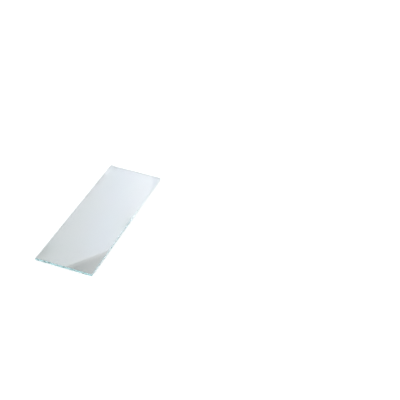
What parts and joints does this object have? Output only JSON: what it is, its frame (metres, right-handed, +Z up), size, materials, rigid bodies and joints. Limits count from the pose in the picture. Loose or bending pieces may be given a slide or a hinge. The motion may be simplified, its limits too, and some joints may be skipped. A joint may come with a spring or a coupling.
{
  "type": "microscope slide",
  "caption": "Plain rectangular microscope slide of clear glass with snapped, unground edges and sharp corners.",
  "frame": {"origin": "middle of the underside, on the surface that the slide lies on", "axes": "+X along the slide, +Y across it, +Z up through its thickness, out of the scored side"},
  "size_m": [0.076, 0.026, 0.001],
  "materials": {
    "clear_glass": "polished faces, snapped edges"
  },
  "bodies": {
    "root": {"glass_slide": "clear_glass"}
  },
  "joints": []
}
